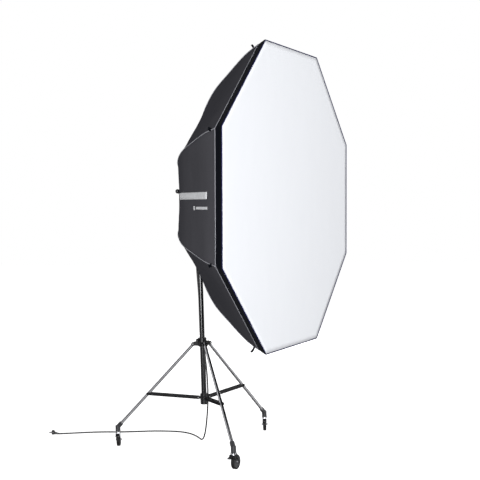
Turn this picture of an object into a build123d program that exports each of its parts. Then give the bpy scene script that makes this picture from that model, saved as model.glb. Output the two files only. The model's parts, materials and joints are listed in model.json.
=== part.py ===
"""Octagonal studio softbox on a flash head and a wheeled folding stand.

Millimetres. +Z is up, the lit front faces -Y, and the origin is on the floor
under the middle of the object.
"""
from build123d import *
from math import asin, atan2, cos, degrees, hypot, pi, radians, sin, sqrt, tan
import os

os.makedirs("parts", exist_ok=True)

# ---------------------------------------------------------------- driving dimensions
pole_y = 48.4  # the column stands this far behind the origin
running_gap = 0.05  # radial clearance of a fit that turns or slides
body_gap = 0.3  # space between neighbours that must not touch

# Softbox, measured along its axis from the front face (depth) and out from the axis
front_width = 1900.0  # across the flats
front_reach = 702.0  # front face to column, along Y
front_height = 1663.0  # centre of the front face above the floor
nose_down = 1.878  # degrees
sides = 8
rib_stations = [(1000, 57), (944, 155), (845, 282), (720, 428), (562, 543), (420, 582), (130, 604)]
cloth = 1.5
seam_gap = 0.6
lip_depth = 53.0
piping_radius = 2.0
rod_radius = 4.0
rod_inset = 11.0
diffuser_cloth = 1.5
inner_diffuser_depth = 300.0
inner_diffuser_radius = 780.0

# Speedring and flash head, on the softbox axis
ring_front = 606.0
ring_back = 624.0
ring_outer = 116.0
nose_radius = 56.0
barrel_radius = 60.0
barrel_wall = 3.0
barrel_back = 790.0
panel_thickness = 5.0

# Tilt bracket
tilt_height = 1580.0  # tilt axis above the floor
tongue_half = 8.0
ear_thickness = 12.0
umbrella_hole_radius = 4.2
stud_radius = 8.0
screw_radius = 4.0  # every clamp screw

# Column tubes
base_tube_radius = 17.5
riser_radius = 15.0
base_tube_bottom = 325.0
base_tube_top = 1230.0
riser_bottom = 340.0
riser_top = 1440.0
riser_travel = 700.0

# Legs and braces, in the vertical plane through the column axis
leg_azimuths = {"left": 105.8, "front": 225.8, "right": 345.8}
leg_top = (62.0, 709.0)  # pivot on the collar: radius, height
leg_foot = (620.0, 137.0)  # centre of the caster socket
leg_radius = 11.0
leg_brace_distance = 475.0  # collar pivot to brace pivot, along the leg
hub_pivot = (38.0, 345.0)
folded_leg_angle = 10.0  # from vertical
flange_inner = 11.5
flange_thickness = 2.0
brace_height = 20.0

# Casters
wheel_radius = 45.0
wheel_half_width = 11.5
tyre_inner_radius = 36.0
axle_radius = 4.0
stem_radius = 5.0
trail = 22.0
caster_azimuths = {"left": 27.5, "front": -0.5, "right": 27.5}
pedal_pivot = (-30.0, 92.0)
pedal_half_width = 12.0

# Mains lead: route of its centre line behind and right of the column, then over the floor
lead_radius = 5.0
lead_route = [
    (30, 66, 1562), (30, 66, 1500), (34, 60, 1400), (42, 52, 1285), (44, 48, 1170), (47, 43, 1060),
    (47, 40, 950), (52, 34, 840), (58, 24, 730), (66, 20, 620), (74, 15, 515), (82, 16, 415),
    (87, 20, 320), (91, 29, 235), (96, 41, 165), (106, 56, 105), (122, 76, 58), (147, 103, 23),
    (181, 136, 7), (229, 182, 5), (284, 243, 5), (335, 322, 5), (357, 415, 5), (340, 523, 5),
    (302, 634, 5), (246, 736, 5), (196, 838, 5), (162, 948, 5), (110, 1056, 5), (43, 1158, 5),
    (-4, 1240, 5),
]

# ---------------------------------------------------------------- shared geometry
pole = Vector(0, pole_y, 0)
front_centre = Vector(0, pole_y - front_reach, front_height)
facing = Vector(0, -cos(radians(nose_down)), -sin(radians(nose_down)))
softbox_axis = Axis(front_centre, facing)
softbox_plane = Plane(origin=front_centre, x_dir=(1, 0, 0), z_dir=facing)

front_radius = front_width / 2 / cos(pi / sides)
half_side = 180 / sides  # from the middle of a side to a corner, degrees
corner_angles = [half_side + 360 / sides * n for n in range(sides)]

leg_length = hypot(leg_foot[0] - leg_top[0], leg_foot[1] - leg_top[1])
leg_angle = degrees(atan2(leg_foot[0] - leg_top[0], leg_top[1] - leg_foot[1]))
brace_end = (
    leg_top[0] + leg_brace_distance * sin(radians(leg_angle)),
    leg_top[1] - leg_brace_distance * cos(radians(leg_angle)),
)
brace_length = hypot(brace_end[0] - hub_pivot[0], brace_end[1] - hub_pivot[1])
brace_rise = degrees(atan2(brace_end[1] - hub_pivot[1], brace_end[0] - hub_pivot[0]))

# The folded linkage: where the collar stands when the legs reach their folded angle
folded_reach = leg_top[0] - hub_pivot[0] + leg_brace_distance * sin(radians(folded_leg_angle))
folded_rise = sqrt(brace_length**2 - folded_reach**2)
collar_travel = (
    hub_pivot[1] + folded_rise + leg_brace_distance * cos(radians(folded_leg_angle)) - leg_top[1]
)
leg_fold = leg_angle - folded_leg_angle
brace_fold = 90 - degrees(asin(folded_reach / brace_length)) - brace_rise


def depth_plane(depth):
    """Plane across the softbox axis, facing the same way as the front."""
    return softbox_plane.offset(-depth)


def side_plane(angle):
    """Plane through the softbox axis: local x runs outward at the angle, local y back along the axis."""
    outward = softbox_plane.x_dir.rotate(Axis((0, 0, 0), facing), angle)
    return Plane(origin=front_centre, x_dir=outward, z_dir=outward.cross(-facing))


def upright_plane(azimuth, origin=pole):
    """Upright plane: local x runs outward at the azimuth, local y is up."""
    outward = Vector(cos(radians(azimuth)), sin(radians(azimuth)), 0)
    return Plane(origin=origin, x_dir=outward, z_dir=outward.cross(Vector(0, 0, 1)))


def shifted(path, distance):
    """The points of a path moved sideways, to the left of its direction when positive."""
    moved = []
    for n, (x, y) in enumerate(path):
        before = path[max(n - 1, 0)]
        after = path[min(n + 1, len(path) - 1)]
        run = hypot(after[0] - before[0], after[1] - before[1])
        moved.append((x - (after[1] - before[1]) / run * distance, y + (after[0] - before[0]) / run * distance))
    return moved


def tube_turns(points):
    """Fillet radius for each inner point of a route, as large as its two runs allow."""
    radii = []
    for before, corner, after in zip(points, points[1:], points[2:]):
        run_in = Vector(*corner) - Vector(*before)
        run_out = Vector(*after) - Vector(*corner)
        turn = run_in.get_angle(run_out)
        radii.append(0.45 * min(run_in.length, run_out.length) / tan(radians(turn / 2)))
    return radii


def save(name, part):
    part.label = name
    export_step(part, f"parts/{name}.step")


# ---------------------------------------------------------------- softbox
def side_strip(stations):
    """The cloth of one side of the octagon: a profile of corner radius and depth, cut to its wedge."""
    outer = [(radius * cos(pi / sides), depth) for radius, depth in stations]
    tip = seam_gap / sin(radians(half_side))
    spread = front_width * tan(radians(half_side))
    with BuildPart() as strip:
        with BuildSketch(side_plane(90)):
            with BuildLine():
                Polyline(*outer, *reversed(shifted(outer, cloth)), close=True)
            make_face()
        extrude(amount=front_width / 2, both=True)
        with BuildSketch(softbox_plane):
            with BuildLine():
                Polyline((0, tip), (spread, tip + front_width), (-spread, tip + front_width), close=True)
            make_face()
        extrude(amount=-barrel_back, mode=Mode.INTERSECT)
    return strip.part


gore = side_strip(rib_stations)
with BuildPart() as shell_panels:
    for n in range(sides):
        add(gore.rotate(softbox_axis, 360 / sides * n))
save("shell_panels", shell_panels.part)

lip_strip = side_strip([(front_radius, diffuser_cloth + 0.8), (rib_stations[0][0] + 2, lip_depth)])
with BuildPart() as rim_lip:
    for n in range(sides):
        add(lip_strip.rotate(softbox_axis, 360 / sides * n))
save("rim_lip", rim_lip.part)

with BuildPart() as front_diffuser:
    with BuildSketch(softbox_plane):
        RegularPolygon(front_radius - 2, sides, rotation=half_side)
    extrude(amount=-diffuser_cloth)
save("front_diffuser", front_diffuser.part)

# Piping: one cord round the back of the lip and one along each rib seam
seam_path = shifted(rib_stations, -piping_radius - 0.2)
with BuildPart() as seam_piping:
    with BuildLine(side_plane(corner_angles[0])) as seam_line:
        FilletPolyline(*seam_path, radius=10)
    with BuildSketch(Plane(origin=seam_line.line @ 0, z_dir=seam_line.line % 0)):
        Circle(piping_radius)
    sweep()

with BuildPart() as piping:
    with BuildSketch(depth_plane(lip_depth)):
        RegularPolygon(rib_stations[0][0] + 3, sides, rotation=half_side)
        RegularPolygon(rib_stations[0][0] - 2, sides, rotation=half_side, mode=Mode.SUBTRACT)
    extrude(amount=-2 * piping_radius + 1)
    for n in range(sides):
        add(seam_piping.part.rotate(softbox_axis, 360 / sides * n))
save("piping", piping.part)

# Rods run inside the shell along its seams, from the tip pockets to the sockets on the ring
rod_path = shifted(rib_stations, rod_inset)
rod_front = (
    rod_path[0][0] * 0.92 + rod_path[1][0] * 0.08,
    rod_path[0][1] * 0.92 + rod_path[1][1] * 0.08,
)
rod_back = (92.0, rod_path[-1][1] + (rod_path[-1][0] - 92.0) * 22 / 290)
with BuildPart() as rod:
    with BuildLine(side_plane(corner_angles[0])) as rod_line:
        FilletPolyline(rod_front, *rod_path[1:-1], rod_back, radius=200)
    with BuildSketch(Plane(origin=rod_line.line @ 0, z_dir=rod_line.line % 0)):
        Circle(rod_radius)
    sweep()

with BuildPart() as rib_rods:
    for n in range(sides):
        add(rod.part.rotate(softbox_axis, 360 / sides * n))
save("rib_rods", rib_rods.part)

# Tip pockets: a short sleeve over the front end of each rod
with BuildPart() as pocket:
    with BuildSketch(Plane(origin=rod_line.line @ 0, z_dir=rod_line.line % 0)):
        Circle(rod_radius + 2)
        Circle(rod_radius + running_gap, mode=Mode.SUBTRACT)
    extrude(amount=40)

with BuildPart() as tip_pockets:
    for n in range(sides):
        add(pocket.part.rotate(softbox_axis, 360 / sides * n))
save("tip_pockets", tip_pockets.part)

# Pull tabs: a webbing tab standing out of each seam behind the lip
tab_depth = 92.0
tab_length = 30.0
tab_half_width = 10.0
with BuildPart() as tab:
    with BuildSketch(side_plane(corner_angles[0])):
        with BuildLine():
            inner = rib_stations[0][0] - 10.0
            Polyline(
                (inner, tab_depth - 1), (inner + tab_length, tab_depth + 8), (inner + tab_length, tab_depth + 11),
                (inner, tab_depth + 2), close=True,
            )
        make_face()
    extrude(amount=tab_half_width, both=True)

with BuildPart() as pull_tabs:
    for n in range(sides):
        add(tab.part.rotate(softbox_axis, 360 / sides * n))
save("pull_tabs", pull_tabs.part)

with BuildPart() as inner_diffuser:
    with BuildSketch(depth_plane(inner_diffuser_depth)):
        RegularPolygon(inner_diffuser_radius, sides, rotation=half_side)
    extrude(amount=-1)
save("inner_diffuser", inner_diffuser.part)

# Speedring: a flat ring with a raised inner rim that turns on the nose of the head
ring_profile = side_plane(90)
with BuildPart() as speedring:
    with BuildSketch(ring_profile):
        with BuildLine():
            Polyline(
                (nose_radius + running_gap, ring_front - 4), (66, ring_front - 4), (70, ring_front),
                (ring_outer, ring_front), (ring_outer, ring_back - 6), (ring_outer - 6, ring_back),
                (nose_radius + running_gap, ring_back), close=True,
            )
        make_face()
    revolve(axis=softbox_axis)
    with BuildSketch(depth_plane(ring_back)):
        with PolarLocations(92, sides):
            Circle(7)
    extrude(amount=ring_back - ring_front, mode=Mode.SUBTRACT)
save("speedring", speedring.part)

# Rod sockets on the front of the ring, each with a hinge pin
socket_half_width = 9.0
pin_radius = 2.0
pin_at = (85.0, ring_front - 8)
with BuildPart() as socket:
    with BuildSketch(side_plane(corner_angles[0])):
        with BuildLine():
            Polyline(
                (79, ring_front), (ring_outer - 2, ring_front), (118, ring_front - 4), (118, ring_front - 19),
                (84, ring_front - 17), (79, ring_front - 12), close=True,
            )
        make_face()
        with Locations(pin_at):
            Circle(pin_radius + running_gap, mode=Mode.SUBTRACT)
    extrude(amount=socket_half_width, both=True)
    rod_direction = rod_line.line % 1
    with BuildSketch(Plane(origin=rod_line.line @ 1, z_dir=rod_direction)):
        Circle(rod_radius + running_gap)
    extrude(amount=-40, mode=Mode.SUBTRACT)

with BuildPart() as socket_pin:
    with BuildSketch(side_plane(corner_angles[0])):
        with Locations(pin_at):
            Circle(pin_radius)
    extrude(amount=socket_half_width + 1.5, both=True)

with BuildPart() as rib_sockets:
    for n in range(sides):
        add(socket.part.rotate(softbox_axis, 360 / sides * n))
save("rib_sockets", rib_sockets.part)

with BuildPart() as socket_pins:
    for n in range(sides):
        add(socket_pin.part.rotate(softbox_axis, 360 / sides * n))
save("socket_pins", socket_pins.part)

# Rear collar: a cloth sleeve that closes the gap round the ring
with BuildPart() as rear_collar:
    with BuildSketch(ring_profile):
        with BuildLine():
            Polyline(
                (ring_outer + 0.5, ring_front + 1), (ring_outer + 2.5, ring_front + 1),
                (ring_outer + 2.5, ring_back + 12), (ring_outer - 12, ring_back + 20),
                (ring_outer - 12, ring_back + 18), (ring_outer + 0.5, ring_back + 11), close=True,
            )
        make_face()
    revolve(axis=softbox_axis)
save("rear_collar", rear_collar.part)

# ---------------------------------------------------------------- flash head
flange_front = ring_back + body_gap
flange_back = flange_front + 10
lamp_plate_front = ring_front - 2.0
with BuildPart() as head_barrel:
    with BuildSketch(ring_profile):
        with BuildLine():
            Polyline(
                (0, lamp_plate_front), (nose_radius, lamp_plate_front), (nose_radius, flange_front),
                (64, flange_front), (64, flange_back), (barrel_radius, flange_back + 2),
                (barrel_radius, barrel_back), (barrel_radius - barrel_wall, barrel_back),
                (barrel_radius - barrel_wall, flange_back), (nose_radius - barrel_wall, flange_back),
                (nose_radius - barrel_wall, lamp_plate_front + 3), (0, lamp_plate_front + 3), close=True,
            )
        make_face()
    revolve(axis=softbox_axis)
    # cooling slots, four on each flank
    for flank in (18, 162):
        with BuildSketch(side_plane(flank)):
            with GridLocations(0, 22, 1, 4):
                with Locations((barrel_radius, barrel_back - 70)):
                    Rectangle(12, 6)
        extrude(amount=18, both=True, mode=Mode.SUBTRACT)
save("head_barrel", head_barrel.part)

panel_back = barrel_back + panel_thickness
switch_at = (-24.0, 20.0)
dial_at = (22.0, 14.0)
with BuildPart() as head_rear_panel:
    with BuildSketch(depth_plane(barrel_back)):
        Circle(barrel_radius)
        with Locations(switch_at):
            Rectangle(15, 21, mode=Mode.SUBTRACT)
        with Locations(dial_at):
            Circle(4 + running_gap, mode=Mode.SUBTRACT)
    extrude(amount=-panel_thickness)
    chamfer(head_rear_panel.faces().sort_by(softbox_axis)[0].outer_wire().edges(), length=1.5)
save("head_rear_panel", head_rear_panel.part)

# Rocker switch: a shallow double wedge that tips about its middle
with BuildPart() as power_switch:
    with BuildSketch(depth_plane(panel_back - 4)):
        with Locations(switch_at):
            Rectangle(12.6, 17)
    extrude(amount=-6)
    chamfer(power_switch.faces().sort_by(softbox_axis)[0].edges(), length=1.2)
save("power_switch", power_switch.part)

with BuildPart() as power_dial:
    with BuildSketch(depth_plane(panel_back + body_gap)):
        with Locations(dial_at):
            Circle(12)
    extrude(amount=-11)
    chamfer(power_dial.faces().sort_by(softbox_axis)[0].edges(), length=1.5)
    with BuildSketch(depth_plane(panel_back + body_gap)):
        with Locations(dial_at):
            Circle(4)
    extrude(amount=panel_thickness + body_gap + 2)
save("power_dial", power_dial.part)

# Carry handle: two posts and a round grip above the barrel
handle_front = 690.0
handle_back = 780.0
grip_height = barrel_radius + 30.0
with BuildPart() as carry_handle:
    with BuildLine(side_plane(90)) as handle_line:
        FilletPolyline(
            (barrel_radius + 1, handle_front), (grip_height, handle_front), (grip_height, handle_back),
            (barrel_radius + 1, handle_back), radius=14,
        )
    with BuildSketch(Plane(origin=handle_line.line @ 0, z_dir=handle_line.line % 0)):
        Circle(7)
    sweep()
    for depth in (handle_front, handle_back - 2):
        with BuildSketch(side_plane(90)):
            with Locations((barrel_radius + 2, depth)):
                Rectangle(8, 18)
        extrude(amount=9, both=True)
    with BuildSketch(depth_plane(0)):
        Circle(barrel_radius)
    extrude(amount=-barrel_back - 30, mode=Mode.SUBTRACT)
save("carry_handle", carry_handle.part)

# Flash tube: an almost closed ring on two legs
tube_depth = lamp_plate_front - 20.0
with BuildPart() as flash_tube:
    with BuildSketch(ring_profile):
        with Locations((34, tube_depth)):
            Circle(4)
    revolve(axis=softbox_axis, revolution_arc=330)
    for angle in (90, 60):
        leg_at = Vector(34 * cos(radians(angle)), 34 * sin(radians(angle)), 0)
        with BuildSketch(depth_plane(tube_depth)):
            with Locations((leg_at.X, leg_at.Y)):
                Circle(3)
        extrude(amount=-20)
save("flash_tube", flash_tube.part)

lamp_radius = 14.0
lamp_depth = lamp_plate_front - 26.0
with BuildPart() as modelling_lamp:
    with BuildSketch(depth_plane(lamp_plate_front)):
        Circle(9)
    extrude(amount=16)
    with Locations(depth_plane(lamp_depth).origin):
        Sphere(lamp_radius)
save("modelling_lamp", modelling_lamp.part)

dome_radius = 50.0
with BuildPart() as glass_dome:
    with BuildSketch(ring_profile):
        with BuildLine():
            CenterArc((0, lamp_plate_front - 6), dome_radius, -90, 90)
            Line((dome_radius, lamp_plate_front - 6), (dome_radius, lamp_plate_front))
            Line((dome_radius, lamp_plate_front), (dome_radius - 2, lamp_plate_front))
            Line((dome_radius - 2, lamp_plate_front), (dome_radius - 2, lamp_plate_front - 6))
            CenterArc((0, lamp_plate_front - 6), dome_radius - 2, -90, 90)
            Line((0, lamp_plate_front - 4 - dome_radius), (0, lamp_plate_front - 6 - dome_radius))
        make_face()
    revolve(axis=softbox_axis)
save("glass_dome", glass_dome.part)

# Bayonet latch: a sprung catch on top of the barrel, pulled back to free the ring
latch_angle = 52.0
with BuildPart() as bayonet_latch:
    with BuildSketch(side_plane(latch_angle)):
        with BuildLine():
            low = barrel_radius + body_gap + 0.5
            Polyline(
                (low, flange_back + 4), (low, flange_back + 30), (low + 5, flange_back + 30),
                (low + 11, flange_back + 24), (low + 7, flange_back + 18), (low + 7, flange_back + 4), close=True,
            )
        make_face()
    extrude(amount=8, both=True)
save("bayonet_latch", bayonet_latch.part)

# Mains inlet under the barrel and the tapered strain relief of the lead
inlet_at = lead_route[0]
inlet_bottom = inlet_at[2] + 46.0
with BuildPart() as mains_inlet:
    with BuildSketch(Plane.XY.offset(inlet_bottom)):
        with Locations((inlet_at[0], pole_y + inlet_at[1])):
            RectangleRounded(30, 24, 4)
    extrude(amount=35)
    with BuildSketch(softbox_plane):
        Circle(barrel_radius)
    extrude(amount=-barrel_back - 60, mode=Mode.SUBTRACT)
save("mains_inlet", mains_inlet.part)

with BuildPart() as lead_strain_relief:
    for height, radius in ((inlet_bottom, 8.5), (inlet_bottom - 12, 8.0), (inlet_at[2], lead_radius + 1.2)):
        with BuildSketch(Plane.XY.offset(height)):
            with Locations((inlet_at[0], pole_y + inlet_at[1])):
                Circle(radius)
    loft(ruled=True)
save("lead_strain_relief", lead_strain_relief.part)

# Yoke: a saddle under the barrel with the tilt tongue below it
tilt_plane = Plane(origin=(0, pole_y, tilt_height), x_dir=(0, 1, 0), z_dir=(1, 0, 0))
saddle_bottom = 30.0
bolt_radius = 5.0
with BuildPart() as head_yoke:
    with BuildSketch(tilt_plane):
        Circle(13)
        with Locations((0, saddle_bottom / 2)):
            Rectangle(26, saddle_bottom + 4)
        Circle(bolt_radius + running_gap, mode=Mode.SUBTRACT)
    extrude(amount=tongue_half, both=True)
    with BuildSketch(tilt_plane):
        with Locations((0, saddle_bottom + 18)):
            Rectangle(56, 36)
    extrude(amount=20, both=True)
    with BuildSketch(softbox_plane):
        Circle(barrel_radius)
    extrude(amount=-barrel_back - 60, mode=Mode.SUBTRACT)
save("head_yoke", head_yoke.part)

# ---------------------------------------------------------------- tilt bracket
ear_inner = tongue_half + body_gap
ear_outer = ear_inner + ear_thickness
clevis_top = tilt_height - 18.0
clevis_bottom = riser_top + 12.0
umbrella_height = tilt_height - 30.0
stud_top = clevis_bottom + 56.0
screw_height = clevis_bottom + 22.0
with BuildPart() as tilt_clevis:
    with BuildSketch(Plane.XY.offset(clevis_bottom)):
        with Locations((0, pole_y)):
            Circle(21)
    extrude(amount=umbrella_height - 14 - clevis_bottom)
    with BuildSketch(Plane.XY.offset(umbrella_height - 14)):
        with Locations((0, pole_y)):
            RectangleRounded(2 * ear_outer, 40, 5)
    extrude(amount=clevis_top - umbrella_height + 14)
    for side in (-1, 1):
        with BuildSketch(tilt_plane.offset(side * (ear_inner + ear_thickness / 2))):
            Circle(16)
            with Locations((0, -12)):
                Rectangle(32, 24)
            Circle(bolt_radius, mode=Mode.SUBTRACT)
        extrude(amount=ear_thickness / 2, both=True)
    with BuildSketch(Plane.XY.offset(clevis_bottom)):
        with Locations((0, pole_y)):
            Circle(stud_radius + running_gap)
    extrude(amount=stud_top - clevis_bottom + 1, mode=Mode.SUBTRACT)
    with BuildSketch(Plane(origin=(0, pole_y, umbrella_height), x_dir=(1, 0, 0), z_dir=(0, 1, 0))):
        Circle(umbrella_hole_radius)
    extrude(amount=60, both=True, mode=Mode.SUBTRACT)
    with BuildSketch(Plane(origin=(0, pole_y, screw_height), x_dir=(0, 1, 0), z_dir=(1, 0, 0))):
        Circle(4 + running_gap)
    extrude(amount=40, mode=Mode.SUBTRACT)
save("tilt_clevis", tilt_clevis.part)

# Tilt bolt: through both ears, with a head on the right and a boss for the lever on the left
lever_inner = ear_outer + 4.0
lever_outer = lever_inner + 26.0
with BuildPart() as tilt_pivot_bolt:
    with BuildSketch(tilt_plane.offset(ear_outer)):
        Circle(bolt_radius)
    extrude(amount=-ear_outer - lever_outer + 8)
    with BuildSketch(tilt_plane.offset(ear_outer)):
        RegularPolygon(9, 6)
    extrude(amount=6)
    with BuildSketch(tilt_plane.offset(-ear_outer)):
        Circle(10)
    extrude(amount=-3)
save("tilt_pivot_bolt", tilt_pivot_bolt.part)

# Tilt lever: a boss on the bolt, an angled arm and a ball knob
ball_radius = 15.0
lever_ball = Vector(-100, pole_y + 95, 1741)
lever_root = Vector(-lever_outer + 6, pole_y, tilt_height)
with BuildPart() as tilt_lever:
    with BuildSketch(tilt_plane.offset(-lever_inner)):
        Circle(12)
    extrude(amount=-(lever_outer - lever_inner))
    with BuildSketch(Plane(origin=lever_root, z_dir=lever_ball - lever_root)):
        Circle(5)
    extrude(amount=(lever_ball - lever_root).length)
    with Locations(lever_ball):
        Sphere(ball_radius)
    with BuildSketch(tilt_plane.offset(-lever_inner + 1)):
        Circle(bolt_radius + running_gap)
    extrude(amount=-(lever_outer - lever_inner - 6), mode=Mode.SUBTRACT)
save("tilt_lever", tilt_lever.part)

# ---------------------------------------------------------------- column
def level(height):
    """Level plane round the column axis."""
    return Plane(origin=(0, pole_y, height))


def radial_plane(azimuth, height):
    """Plane on the column axis that looks outward at the azimuth; its local x is up."""
    outward = (cos(radians(azimuth)), sin(radians(azimuth)), 0)
    return Plane(origin=(0, pole_y, height), x_dir=(0, 0, 1), z_dir=outward)


def clamp_knob(azimuth, height, tip, grip_start, grip_radius, grip_length):
    """A radial screw with a lobed grip, standing out from the column."""
    radial = radial_plane(azimuth, height)
    with BuildPart() as knob:
        with BuildSketch(radial.offset(tip)):
            Circle(screw_radius)
        extrude(amount=grip_start - tip + 2)
        with BuildSketch(radial.offset(grip_start)):
            Circle(grip_radius * 0.8)
            with PolarLocations(grip_radius * 0.66, 5):
                Circle(grip_radius * 0.34)
        extrude(amount=grip_length)
        chamfer(knob.faces().sort_by(Axis(radial.origin, radial.z_dir))[-1].edges(), length=1)
    return knob.part


with BuildPart() as base_tube:
    with BuildSketch(level(base_tube_bottom)):
        Circle(base_tube_radius)
        Circle(riser_radius + running_gap, mode=Mode.SUBTRACT)
    extrude(amount=base_tube_top - base_tube_bottom)
save("base_tube", base_tube.part)

# The riser slides in the base tube and ends in a grooved stud that carries the tilt bracket
with BuildPart() as riser_tube:
    with BuildSketch(level(riser_bottom)):
        Circle(riser_radius)
        Circle(riser_radius - 2, mode=Mode.SUBTRACT)
    extrude(amount=riser_top - riser_bottom)
    with BuildSketch(level(riser_top)):
        Circle(riser_radius)
    extrude(amount=6)
    with BuildSketch(level(riser_top + 6)):
        Circle(stud_radius)
    extrude(amount=stud_top - riser_top - 6)
    with BuildSketch(level(screw_height - 6)):
        Circle(stud_radius + 1)
        Circle(stud_radius - 1.5, mode=Mode.SUBTRACT)
    extrude(amount=12, mode=Mode.SUBTRACT)
    chamfer(riser_tube.faces().sort_by(Axis.Z)[-1].edges(), length=1.5)
save("riser_tube", riser_tube.part)

# Lock collar: a sleeve over the top of the base tube that narrows to the riser, with a clamp knob
lock_azimuth = 195.8
lock_radius = 24.0
lock_skirt = 18.0
lock_reach = 34.0
lock_screw_height = base_tube_top + 18.0
with BuildPart() as riser_lock_collar:
    with BuildSketch(level(base_tube_top - lock_skirt)):
        Circle(lock_radius)
    extrude(amount=lock_skirt + lock_reach)
    with BuildSketch(radial_plane(lock_azimuth, lock_screw_height)):
        Circle(10)
    extrude(amount=lock_radius + 8)
    with BuildSketch(level(base_tube_top - lock_skirt)):
        Circle(base_tube_radius)
    extrude(amount=lock_skirt, mode=Mode.SUBTRACT)
    with BuildSketch(level(base_tube_top)):
        Circle(riser_radius + running_gap)
    extrude(amount=lock_reach, mode=Mode.SUBTRACT)
    with BuildSketch(radial_plane(lock_azimuth, lock_screw_height)):
        Circle(screw_radius + running_gap)
    extrude(amount=lock_radius + 9, mode=Mode.SUBTRACT)
    chamfer(riser_lock_collar.faces().sort_by(Axis.Z)[-1].outer_wire().edges(), length=2)
save("riser_lock_collar", riser_lock_collar.part)
riser_lock_knob = clamp_knob(lock_azimuth, lock_screw_height, riser_radius + body_gap, 34, 15, 16)
save("riser_lock_knob", riser_lock_knob)
spigot_screw = clamp_knob(0, screw_height, stud_radius + body_gap, 24, 12, 16)
save("spigot_screw", spigot_screw)

# Lower hub: a sleeve with three tongues for the braces and a closed foot
tongue_half_width = flange_inner - body_gap
hub_pin_radius = 3.0
hub_bottom = 300.0
hub_top = 372.0
with BuildPart() as lower_hub:
    with BuildSketch(level(hub_bottom)):
        Circle(26)
    extrude(amount=hub_top - hub_bottom)
    for azimuth in leg_azimuths.values():
        with BuildSketch(upright_plane(azimuth)):
            with Locations((29, hub_pivot[1])):
                Rectangle(18, 17)
            with Locations(hub_pivot):
                Circle(8.5)
        extrude(amount=tongue_half_width, both=True)
    with BuildSketch(level(base_tube_bottom)):
        Circle(base_tube_radius)
    extrude(amount=60, mode=Mode.SUBTRACT)
    for azimuth in leg_azimuths.values():
        with BuildSketch(upright_plane(azimuth)):
            with Locations(hub_pivot):
                Circle(hub_pin_radius)
        extrude(amount=30, both=True, mode=Mode.SUBTRACT)
    chamfer(lower_hub.faces().sort_by(Axis.Z)[0].edges(), length=3)
save("lower_hub", lower_hub.part)

with BuildPart() as hub_pins:
    for azimuth in leg_azimuths.values():
        with BuildSketch(upright_plane(azimuth)):
            with Locations(hub_pivot):
                Circle(hub_pin_radius)
        extrude(amount=flange_inner + flange_thickness + 3, both=True)
save("hub_pins", hub_pins.part)

# Leg collar: a sleeve that slides on the base tube, with a pair of ears for each leg
collar_bottom = leg_top[1] - 17.0
collar_top = leg_top[1] + 41.0
collar_ear_inner = leg_radius + 0.4
collar_ear_thickness = 4.5
collar_knob_azimuth = 165.8
collar_knob_height = leg_top[1] + 28.0
collar_pin_radius = 4.0
with BuildPart() as leg_collar:
    with BuildSketch(level(collar_bottom)):
        Circle(29)
    extrude(amount=collar_top - collar_bottom)
    for azimuth in leg_azimuths.values():
        for side in (-1, 1):
            ear_middle = side * (collar_ear_inner + collar_ear_thickness / 2)
            with BuildSketch(upright_plane(azimuth).offset(ear_middle)):
                with Locations((44, leg_top[1] + 1)):
                    Rectangle(36, 26)
                with Locations(leg_top):
                    Circle(13)
            extrude(amount=collar_ear_thickness / 2, both=True)
    with BuildSketch(radial_plane(collar_knob_azimuth, collar_knob_height)):
        Circle(10)
    extrude(amount=38)
    with BuildSketch(level(collar_bottom)):
        Circle(base_tube_radius + running_gap)
    extrude(amount=collar_top - collar_bottom, mode=Mode.SUBTRACT)
    with BuildSketch(radial_plane(collar_knob_azimuth, collar_knob_height)):
        Circle(screw_radius + running_gap)
    extrude(amount=40, mode=Mode.SUBTRACT)
    for azimuth in leg_azimuths.values():
        with BuildSketch(upright_plane(azimuth)):
            with Locations(leg_top):
                Circle(collar_pin_radius)
        extrude(amount=30, both=True, mode=Mode.SUBTRACT)
save("leg_collar", leg_collar.part)
leg_collar_knob = clamp_knob(
    collar_knob_azimuth, collar_knob_height, base_tube_radius + body_gap, 40, 12, 14
)
save("leg_collar_knob", leg_collar_knob)

with BuildPart() as collar_pins:
    for azimuth in leg_azimuths.values():
        with BuildSketch(upright_plane(azimuth)):
            with Locations(leg_top):
                Circle(collar_pin_radius)
        extrude(amount=collar_ear_inner + collar_ear_thickness + 2.5, both=True)
save("collar_pins", collar_pins.part)

# ---------------------------------------------------------------- legs, braces and casters
leg_direction = (sin(radians(leg_angle)), -cos(radians(leg_angle)))


def along_leg(distance):
    """Radius and height of a point on the centre line of a leg."""
    return (leg_top[0] + leg_direction[0] * distance, leg_top[1] + leg_direction[1] * distance)


def across_leg(azimuth, distance):
    """Plane square to a leg at a distance below its top pivot."""
    upright = upright_plane(azimuth)
    origin = upright.from_local_coords(Vector(*along_leg(distance), 0))
    return Plane(origin=origin, x_dir=upright.z_dir, z_dir=upright.x_dir * leg_direction[0]
                 + Vector(0, 0, 1) * leg_direction[1])


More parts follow.
